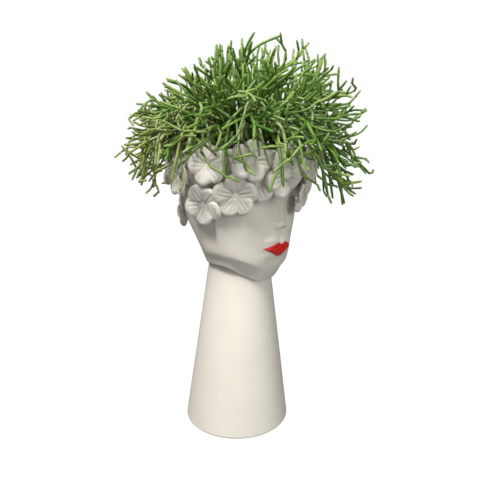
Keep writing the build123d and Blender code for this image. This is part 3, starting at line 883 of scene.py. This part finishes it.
# Four models, of which each flower takes one in turn
crown = [head_casting]
flower_models = [model_flower(f"flower_model_{seed}", seed) for seed in (3, 8, 14, 21)]
for number, row in enumerate(all_flower_shares, 1):
    bearing, height, size, tilt, spin, raised = row
    mesh = flower_models[number % len(flower_models)].data.copy()
    mesh.transform(
        flower_place(bearing, height, tilt, spin)
        @ Matrix.Scale(size, 4)
        @ Matrix.Translation((0, 0, raised * flower_standoff * MM))
    )
    flower = add_thing(f"ceramic_flower_{number:02d}", mesh)
    # The flowers' ceramic is painted lighter than the head's, with painted shade in the vein
    # creases
    settle_piece(flower, "planter", "ceramic", petal_ceramic_with_painted_light, f"flower_{number:02d}")
    crown.append(flower)
for model in flower_models:
    bpy.data.objects.remove(model)

# ---------------------------------------------------------------- plant

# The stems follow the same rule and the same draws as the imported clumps', so each lies where
# its solid does.
clump_rings = [(0.0, 1), (0.40, 4), (0.78, 7)]

# For each ring of clumps, by its share of the pot's radius: how far its shoots fan out from
# its own bearing, in radians, and their lowest and highest rise in degrees
clump_habits = {0.0: (math.pi, 52, 88), 0.40: (0.9, 14, 70), 0.78: (0.75, -32, 46)}

# How a side twig and a short sprig grow: how far they turn aside from their stem and rise from
# it, their count of joints, a joint's length in millimetres and how it varies, and how far they
# sway and rise at each joint. Angles are in radians. From a stem that falls steeply, both rise
# by the steep lift.
twig_habit = (0.3, 0.9), (-0.35, 0.6), (2, 2, 3), twig_length, (0.7, 1.2), 0.35, (-0.25, 0.35)
sprig_length = 11.0
sprig_habit = (0.35, 0.95), (-0.45, 0.6), (1, 1, 2), sprig_length, (0.7, 1.3), 0.5, (-0.3, 0.4)
steep_fall, steep_lift = -0.7, (0.1, 0.9)

sprig_radius = 1.9
sprig_tries = 5000
sprigs_per_trailer = 5
trailer_radius = 2.0
trailer_tries = 9000
trailer_side = math.radians(-128)
trailer_floor = 318.0
trailer_joint = 7.0, 11.5
trailer_heights = rim_height - 8, rim_height + 60
trailer_ring = 50, 122
favoured_cosine, stray_share = 0.45, 0.2
thread_radius = 0.55
thread_count = 170
thread_step = 4.2
thread_reach = 118
thread_heights = rim_height, rim_height + 34
thread_ring = 62, 112
tops_cell = 2.0
tops_reach = 150.0
nothing_there = -1000.0

# The clear room over the crown, over the mix and over the pot's brim, and where the last two are
crown_room, mix_room, brim_room = 0.6, 0.3, 0.8
mix_edge = pot_radius + 6
brim_ring = pot_radius - 3, pot_radius + 5


def add(a, b, share=1.0):
    return tuple(p + share * q for p, q in zip(a, b))


def unit(a):
    length = math.sqrt(sum(p * p for p in a))
    return tuple(p / length for p in a)


def dot(a, b):
    return sum(p * q for p, q in zip(a, b))


def heading(turn, rise):
    """A direction from a bearing round Z and a rise above level, in radians."""
    return (
        math.cos(rise) * math.cos(turn),
        math.cos(rise) * math.sin(turn),
        math.sin(rise),
    )


def bush_outline(turn, rise):
    """How far the bush reaches from the middle of the rim in a direction."""
    forward = 0.5 + 0.5 * math.cos(turn + 0.5)
    side = bush_reach + (bush_forward_reach - bush_reach) * forward
    top = bush_height + (bush_forward_height - bush_height) * forward
    if rise < 0:
        return side - 0.6 * droop_length * min(1.0, -rise / 0.6) ** 2
    up = min(1.0, 2.4 * math.sin(rise) ** 2)
    return side * (1 - up) + top * up


class Thicket:
    """The points of what has grown, by cell, to keep new growth clear of it."""

    def __init__(self):
        self.cell = 2 * (2 * stem_radius + stem_gap)
        self.cells = {}

    def key(self, point):
        return tuple(int(p // self.cell) for p in point)

    def near(self, point):
        i, j, k = self.key(point)
        for di in (-1, 0, 1):
            for dj in (-1, 0, 1):
                for dk in (-1, 0, 1):
                    yield from self.cells.get((i + di, j + dj, k + dk), ())

    def plant(self, points, owner, radius):
        for point in points:
            self.cells.setdefault(self.key(point), []).append((point, owner, radius))

    def is_clear(self, points, radius, excused):
        """Whether points stay clear of every owner, apart from those excused near a place."""
        slack = stem_gap + 0.2 * stem_radius
        for point in points:
            for other, owner, other_radius in self.near(point):
                if math.dist(point, other) > radius + other_radius + slack:
                    continue
                place, reach = excused.get(owner, (None, 0))
                if place is None or math.dist(point, place) > reach:
                    return False
        return True


def fine_points(path):
    """Points along a path, no further apart than a stem's radius."""
    points = []
    for a, b in zip(path, path[1:]):
        steps = max(1, math.ceil(math.dist(a, b) / stem_radius))
        points += [add(a, add(b, a, -1), k / steps) for k in range(steps)]
    return points + [path[-1]]


def crown_band():
    """The crown's top, and how far its flowers stand out of the head."""
    spread = petal_reach + petal_radius
    tops = [height * head_height + size * spread for _, height, size, *_ in all_flower_shares]
    stands = [
        size * (raised * flower_standoff + 0.5 * petal_thickness)
        + size * spread * math.sin(math.radians(petal_tilt_deg))
        for _, _, size, _, _, raised in all_flower_shares
    ]
    return chin_height + max(tops), max(stands)


crown_top, crown_stand = crown_band()
rim_centre, rim_width, rim_depth = section_at(rim_height)
rim_middle = (0, rim_centre, rim_height)


def clears_crown(points, radius):
    """Whether growth lies inside the opening, above the flowers or outside them."""
    inside = head_wall + rim_clearance + radius
    outside = crown_stand + crown_gap + radius
    for x, y, z in points:
        y -= rim_centre
        if math.hypot(x / (rim_width - inside), y / (rim_depth - inside)) < 1:
            if z < soil_top:
                return False
            continue
        if z > crown_top + crown_gap + radius:
            continue
        if math.hypot(x / (rim_width + outside), y / (rim_depth + outside)) < 1:
            return False
    return True


def bend(root, first, last, tip, steps):
    """Points on a curve that leaves root towards first and reaches tip from last."""
    points = []
    for k in range(steps + 1):
        t = k / steps
        s = 1 - t
        weights = (s**3, 3 * s * s * t, 3 * s * t * t, t**3)
        corners = (root, first, last, tip)
        points.append(tuple(sum(w * c[i] for w, c in zip(weights, corners)) for i in range(3)))
    return points


def kinked(points, chance, amount):
    """The points, each but the first nudged aside, as at the joints of the stems."""
    return points[:1] + [
        tuple(p + chance.uniform(-amount, amount) for p in point) for point in points[1:]
    ]


def shoot_path(chance, root, turn, rise):
    """One shoot's points, from its root to a tip near the bush's outline."""
    low = rise < 0.12
    reach = bush_outline(turn, rise) * chance.uniform(0.78 if low else 0.70, 1.0)
    tip = add(rim_middle, heading(turn, rise), reach)
    span = math.dist(root, tip)
    steep = math.radians(chance.uniform(60, 80) if low else chance.uniform(58, 82))
    first = add(root, heading(turn, steep), span * chance.uniform(0.42, 0.6 if low else 0.42))
    if low:
        over = crown_top + chance.uniform(0.4, 0.9) * droop_length
        inward = chance.uniform(0.74, 0.98)
        last = (inward * tip[0], inward * tip[1], over)
    else:
        fall = rise - math.radians(chance.uniform(8, 34))
        last = add(tip, heading(turn + chance.uniform(-0.2, 0.2), fall), -0.36 * span)
    steps = max(4, round((1.6 if low else 1.15) * span / joint_length))
    return kinked(bend(root, first, last, tip, steps), chance, stem_radius)


def side_path(chance, root, before, after, habit):
    """The points of a side growth: it leaves a stem's joint at an angle, then goes its own way."""
    aside, lift, joints, length, longer, sway, climb = habit
    along = unit(add(after, before, -1))
    turn = math.atan2(along[1], along[0]) + chance.choice((-1, 1)) * chance.uniform(*aside)
    rise = math.asin(max(-1, min(1, along[2])))
    rise += chance.uniform(*(steep_lift if rise < steep_fall else lift))
    points = [root]
    for _ in range(chance.choice(joints)):
        points.append(add(points[-1], heading(turn, rise), length * chance.uniform(*longer)))
        turn += chance.uniform(-sway, sway)
        rise += chance.uniform(*climb)
    return points


def within_bush(points):
    for point in points:
        away = add(point, rim_middle, -1)
        distance = math.sqrt(dot(away, away))
        turn = math.atan2(away[1], away[0])
        if distance > 1.02 * bush_outline(turn, math.asin(away[2] / max(distance, stem_radius))):
            return False
    return True


def inside_cad(points):
    """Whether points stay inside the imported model's box."""
    low, high = (tuple(value / MM for value in corner) for corner in cad_box)
    margin = stem_radius
    return all(a + margin < p < b - margin for at in points for p, a, b in zip(at, low, high))


def within(value, limits):
    return limits[0] < value < limits[1]


class Tops:
    """The highest that the head and its flowers reach over each small square of the ground."""

    def __init__(self, pieces):
        cells = round(2 * tops_reach / tops_cell) + 1
        heights = np.full((cells, cells), nothing_there)
        for piece in pieces:
            places = read_places(piece)
            at = np.round((places[:, :2] + tops_reach) / tops_cell).astype(int)
            kept = ((at >= 0) & (at < cells)).all(1)
            np.maximum.at(heights, tuple(at[kept].T), places[kept, 2])
        wide = np.pad(heights, 1, constant_values=nothing_there)
        around = [wide[i : i + cells, j : j + cells] for i in range(3) for j in range(3)]
        self.heights = np.max(around, axis=0).tolist()

    def clear(self, points, radius):
        """Whether round points of a radius stay over the crown, the mix and the pot's brim."""
        for x, y, z in points:
            column, row = round((x + tops_reach) / tops_cell), round((y + tops_reach) / tops_cell)
            if 0 <= column < len(self.heights) and 0 <= row < len(self.heights):
                if z < self.heights[column][row] + radius + crown_room:
                    return False
            from_middle = math.hypot(x, y + pot_setback)
            if from_middle < mix_edge and z < soil_top + radius + mix_room:
                return False
            if within(from_middle, brim_ring) and z < rim_height + radius + brim_room:
                return False
        return True


class Bush:
    """All clumps: each a mound's place and its stems, a stem being its points and its radius.

    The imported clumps' growth comes first. The trailers and sprigs after it only show here.
    """

    def __init__(self, seed, tops):
        self.chance = random.Random(seed)
        self.tops = tops
        self.thicket = Thicket()
        self.clumps = []
        self.owners = []
        self.paths = []

    def settle(self, ring_shares):
        for share, count in ring_shares:
            for k in range(count):
                turn = math.tau * (k + 0.5 * share) / count
                away = share * (pot_radius - mound_radius)
                place = (away * math.cos(turn), away * math.sin(turn) - pot_setback, soil_top)
                self.clumps.append({"place": place, "share": share, "stems": []})
                crown = add(place, (0, 0, mound_height))
                self.thicket.plant([crown], ("mound", len(self.clumps) - 1), mound_radius)

    def keep(self, clump, path, fine, radius):
        self.thicket.plant(fine, len(self.owners), radius)
        self.owners.append(clump)
        self.paths.append(path)
        clump["stems"].append((path, radius))
        return len(self.owners) - 1

    def grow_shoot(self, number, rank, ranks):
        """Try a few ways to grow one shoot from a clump, and give its owner."""
        chance, clump = self.chance, self.clumps[number]
        place, share = clump["place"], clump["share"]
        outward = math.atan2(place[1] + pot_setback, place[0])
        spread, low, high = clump_habits[share]
        for _ in range(90):
            turn = outward + spread * chance.uniform(-1, 1)
            lift = ((rank + chance.random()) / ranks) ** 1.25
            rise = math.radians(low + (high - low) * lift)
            nudge = heading(chance.uniform(0, math.tau), 0)
            root = add(add(place, nudge, 0.4 * mound_radius), (0, 0, 0.3 * mound_height))
            path = shoot_path(chance, root, turn, rise)
            fine = fine_points(path)
            excused = {("mound", number): (place, 1.6 * joint_length)}
            for owner, other in enumerate(self.owners):
                if other is clump:
                    excused[owner] = (place, 1.7 * joint_length)
            if not clears_crown(fine, stem_radius):
                continue
            if self.thicket.is_clear(fine, stem_radius, excused):
                return self.keep(clump, path, fine, stem_radius)
        return None

    def grow_twig(self, clump, owner, joint):
        """Try a few ways to grow a twig from a joint of the owner's stem, and give its owner."""
        start, stop = self.paths[owner][joint : joint + 2]
        for _ in range(8):
            path = side_path(self.chance, start, start, stop, twig_habit)
            fine = fine_points(path)
            excused = {owner: (start, 0.6 * joint_length)}
            if (
                within_bush(fine)
                and clears_crown(fine, twig_radius)
                and self.thicket.is_clear(fine, twig_radius, excused)
            ):
                return self.keep(clump, path, fine, twig_radius)
        return None

    def grow(self, ranks, twig_chance, fork_chance):
        for rank in range(ranks):
            for number, clump in enumerate(self.clumps):
                owner = self.grow_shoot(number, rank, ranks)
                if owner is None:
                    continue
                count = len(self.paths[owner])
                joints = list(range(max(2, count // 3), count - 1))
                for joint in joints + joints[-4:]:
                    if self.chance.random() > twig_chance:
                        continue
                    twig_owner = self.grow_twig(clump, owner, joint)
                    if twig_owner is not None and self.chance.random() < fork_chance:
                        self.grow_twig(clump, twig_owner, 1)

    def keep_if_clear(self, owner, points, radius):
        """Keep a path that starts on the owner's stem, if nothing is in its way."""
        fine = fine_points(points)
        excused = {owner: (points[0], 0.5 * sprig_length)}
        fits = inside_cad(fine) and self.tops.clear(fine, radius)
        if fits and self.thicket.is_clear(fine, radius, excused):
            self.keep(self.owners[owner], points, fine, radius)
            return True
        return False

    def grow_sprig(self, owner):
        """Try to grow a short sprig, one or two joints long, from a joint of a stem."""
        joint = self.chance.randrange(1, len(self.paths[owner]))
        before, place = self.paths[owner][joint - 1 : joint + 1]
        points = side_path(self.chance, place, before, place, sprig_habit)
        if owner in self.trailers or within_bush(fine_points(points)):
            self.keep_if_clear(owner, points, sprig_radius)

    def grow_trailer(self, owner, joint):
        """Try to grow a thin stem that lies over the flowers' tops and then hangs before them."""
        chance, start = self.chance, self.paths[owner][joint]
        turn = math.atan2(start[1], start[0]) + chance.uniform(-0.7, 0.7)
        rise = chance.uniform(-0.5, 0.4)
        points = [start]
        for _ in range(chance.randint(3, 7)):
            lowest = max(-1.25, rise - chance.uniform(0.2, 0.5))
            length = chance.uniform(*trailer_joint)
            for rise in (lowest + 0.22 * step for step in range(8)):
                stop = add(points[-1], heading(turn, rise), length)
                way = fine_points([points[-1], stop])[1:]
                if stop[2] > trailer_floor and self.tops.clear(way, trailer_radius):
                    points.append(stop)
                    break
            else:
                break
            turn += chance.uniform(-0.4, 0.4)
        while len(points) > 2 and not self.keep_if_clear(owner, points, trailer_radius):
            points.pop()

    def trail(self, tries):
        """Grow trailers from the stems that lie near the rim, most of them on one side."""
        first = len(self.paths)
        near = [
            (owner, joint)
            for owner, path in enumerate(self.paths)
            for joint, (x, y, z) in enumerate(path)
            if joint and within(z, trailer_heights) and within(math.hypot(x, y), trailer_ring)
        ]
        favoured = []
        for owner, joint in near:
            x, y, _ = self.paths[owner][joint]
            if math.cos(math.atan2(y, x) - trailer_side) > favoured_cosine:
                favoured.append((owner, joint))
        for _ in range(tries):
            starts = near if self.chance.random() < stray_share else favoured
            self.grow_trailer(*self.chance.choice(starts))
        self.trailers = range(first, len(self.paths))
        for owner in self.trailers:
            for _ in range(sprigs_per_trailer):
                self.grow_sprig(owner)

    def thicken(self, tries):
        for _ in range(tries):
            self.grow_sprig(self.chance.randrange(len(self.paths)))


# How the stems are drawn: a little thinner than the solids, with a waist at each joint and a
# rounded tip. Their moss, and their age with the painted shade that darkens them near the root,
# fade out over these lengths from the clump's root.
drawn_share = 0.78
moss_length, old_moss_length, age_and_shade_length = 95, 60, 150
moss_turn, moss_radius = math.radians(150), 45
own_moss_chance, own_moss_low = 0.25, 0.25
paleness = {trailer_radius: 1.0, sprig_radius: 0.4}
joint_waist = 0.86
tip_tapers = {0: 0.70, 1: 0.92}
tip_bulge = 0.5
box_margin = 1e-5


def between_points(before, start, stop, after, t):
    """A place on a smooth curve from start, where t is 0, to stop, where it is 1."""
    place = []
    for a, b, c, d in zip(before, start, stop, after):
        curve = 2 * b + (c - a) * t + (2 * a - 5 * b + 4 * c - d) * t * t
        place.append(0.5 * (curve + (3 * b - a - 3 * c + d) * t**3))
    return tuple(place)


def stem_rings(points, radius, sides, per_joint):
    """Rings of a smooth round stem through the points, a little waisted at each joint."""
    line = []
    for k in range(len(points) - 1):
        corners = points[max(0, k - 1)], points[k], points[k + 1], points[k + 1 : k + 3][-1]
        for step in range(per_joint):
            waist = joint_waist if step == 0 and k > 0 else 1.0
            line.append((between_points(*corners, step / per_joint), waist))
    line.append((points[-1], 1.0))
    length = len(line)
    rings = []
    along = unit(add(line[1][0], line[0][0], -1))
    helper = (0, 0, 1) if abs(along[2]) < 0.8 else (1, 0, 0)
    across = unit(add(helper, along, -dot(helper, along)))
    for k, (place, waist) in enumerate(line):
        if k + 1 < length:
            along = unit(add(line[k + 1][0], place, -1))
        across = unit(add(across, along, -dot(across, along)))
        other = tuple(Vector(along).cross(Vector(across)))
        size = radius * waist * tip_tapers.get(length - 1 - k, 1.0)
        ring = []
        for n in range(sides):
            angle = math.tau * n / sides
            spoke = tuple(size * math.cos(angle) * p for p in across)
            ring.append(add(place, add(spoke, other, size * math.sin(angle))))
        rings.append(ring)
    return rings, add(line[-1][0], along, tip_bulge * radius)


def tube_mesh(name, tubes, sides, per_joint):
    """One piece of round tubes; gives it and, for each vertex, the number of its tube."""
    vertices, faces, owners = [], [], []
    for number, (points, radius) in enumerate(tubes):
        rings, tip = stem_rings(points, radius, sides, per_joint)
        start = len(vertices)
        for ring in rings:
            vertices += ring
        vertices.append(tip)
        last = start + (len(rings) - 1) * sides
        for low in range(start, last, sides):
            for n in range(sides):
                m = (n + 1) % sides
                faces.append((low + n, low + m, low + sides + m, low + sides + n))
        for n in range(sides):
            faces.append((last + n, last + (n + 1) % sides, len(vertices) - 1))
        faces.append(tuple(start + n for n in reversed(range(sides))))
        owners += [number] * (len(vertices) - start)
    low, high = np.array(cad_box)
    inside = np.clip(np.array(vertices) * MM, low + box_margin, high - box_margin)
    mesh = bpy.data.meshes.new(name)
    mesh.from_pydata(inside.tolist(), [], faces)
    return shade(add_thing(name, mesh)), np.array(owners)


def mossiness(place):
    """How mossy a clump is, from 0 to 1: those on one side of the pot are the oldest."""
    x, y = place[0], place[1] + pot_setback
    facing = math.cos(math.atan2(y, x) - moss_turn)
    return max(0.0, facing) ** 3 * min(1.0, math.hypot(x, y) / moss_radius)


def model_clump(number, clump):
    """A clump's stems as one mesh, each vertex knowing its age and painted shade, its stem's tone
    and its moss.
    """
    chance = random.Random(400 + number)
    stems = [(points, drawn_share * radius) for points, radius in clump["stems"]]
    piece, owners = tube_mesh(f"cactus_stems_{number:02d}", stems, 8, 3)
    away = np.linalg.norm(read_places(piece) - np.array(clump["place"]), axis=1)
    tone = np.array([chance.random() for _ in stems])[owners]
    own_moss = [1.0 if chance.random() < own_moss_chance else own_moss_low for _ in stems]
    old_side = mossiness(clump["place"])
    fade = np.maximum(0, 1 - away / (moss_length + old_moss_length * old_side))
    moss = np.maximum(np.array(own_moss)[owners], old_side) * fade
    pale = np.array([paleness.get(radius, 0.0) for _, radius in clump["stems"]])[owners]
    # The growth value darkens stems near the root, for their age and as painted shade inside the
    # bush
    growth = np.minimum(1, away / age_and_shade_length)
    keep_values(piece, growth=growth, tone=tone, moss=moss, olive=old_side, pale=pale)
    return piece


def model_threads(bush, count):
    """Fine dry aerial roots, tangled over the flowers' tops on the mossy side."""
    chance = random.Random(91)
    starts = [
        point
        for clump in bush.clumps
        if mossiness(clump["place"]) > 0.3
        for points, _ in clump["stems"]
        for point in points
        if within(point[2], thread_heights) and within(math.hypot(*point[:2]), thread_ring)
    ]
    threads = []
    for _ in range(count):
        turn, rise = chance.uniform(0, math.tau), chance.uniform(-0.6, 0.6)
        points = [chance.choice(starts)]
        for _ in range(chance.randint(6, 13)):
            stop = add(points[-1], heading(turn, rise), thread_step)
            if not bush.tops.clear([stop], thread_radius) or math.hypot(*stop[:2]) > thread_reach:
                break
            points.append(stop)
            turn += chance.uniform(-0.9, 0.9)
            rise = 0.8 * rise + chance.uniform(-0.5, 0.35)
        if len(points) > 3:
            threads.append((points, thread_radius * chance.uniform(0.6, 1.2)))
    piece, owners = tube_mesh("aerial_roots", threads, 5, 2)
    tone = np.array([chance.random() for _ in threads])[owners]
    # A low growth value gives the roots the dark greens of old stems, partly painted shade
    keep_values(piece, growth=0.2, tone=tone, moss=1.3, olive=1.0)
    return piece


def model_mound(number, place):
    """A rough root crown, where a clump leaves the potting mix."""
    bpy.ops.mesh.primitive_ico_sphere_add(subdivisions=4, radius=1)
    mound = bpy.context.active_object
    mound.name = f"root_crown_{number:02d}"
    places = read_places(mound) * MM
    lumps = np.sin(places @ np.array([7.0, 3.0, 5.0]) + number) * np.sin(
        places @ np.array([-4.0, 8.0, 2.0]) + 2 * number
    )
    places *= (1 + 0.10 * lumps)[:, None]
    places = places * np.array([mound_radius, mound_radius, 1.1 * mound_height])
    places += np.array(place)
    places[:, 2] = np.maximum(places[:, 2], soil_top - 1)
    write_places(mound, places)
    # A low growth value paints the root crown dark, as old and as painted shade under the bush
    keep_values(mound, growth=0.15, tone=0.5, moss=1.0, olive=mossiness(place))
    return shade(mound)


def model_mix():
    """The potting mix, with a crumbled top."""
    mix = cad_copy("potting_mix", "potting_mix_fill")
    fuse(mix)
    places = read_places(mix)
    top = places[:, 2] > soil_top - 2.5
    x, y = places[top, 0], places[top, 1]
    crumbs = (
        np.sin(0.9 * x + 1.3 * np.sin(0.7 * y))
        + np.sin(1.1 * y + 1.7 * np.sin(0.5 * x))
        + 0.6 * np.sin(2.3 * x - 1.9 * y)
    )
    inside = ramp(np.hypot(x, y + pot_setback), pot_radius - 4, -3)
    places[top, 2] += inside * (0.55 * crumbs - 0.6)
    write_places(mix, places)
    return shade(mix)


pot_body = "growing_pot_and_plant"
bush = Bush(20, Tops(crown))
bush.settle(clump_rings)
bush.grow(ranks=14, twig_chance=0.85, fork_chance=0.6)
bush.trail(trailer_tries)
bush.thicken(sprig_tries)
for number, clump in enumerate(bush.clumps, 1):
    stems = model_clump(number, clump)
    settle_piece(stems, pot_body, "stems", stem_skin, f"cactus_clump_{number:02d}")
    mound = model_mound(number, clump["place"])
    settle_piece(mound, pot_body, "stems", stem_skin)
settle_piece(model_threads(bush, thread_count), pot_body, "stems", stem_skin)
settle_piece(model_mix(), pot_body, "mix", mix_crumbs, "potting_mix")
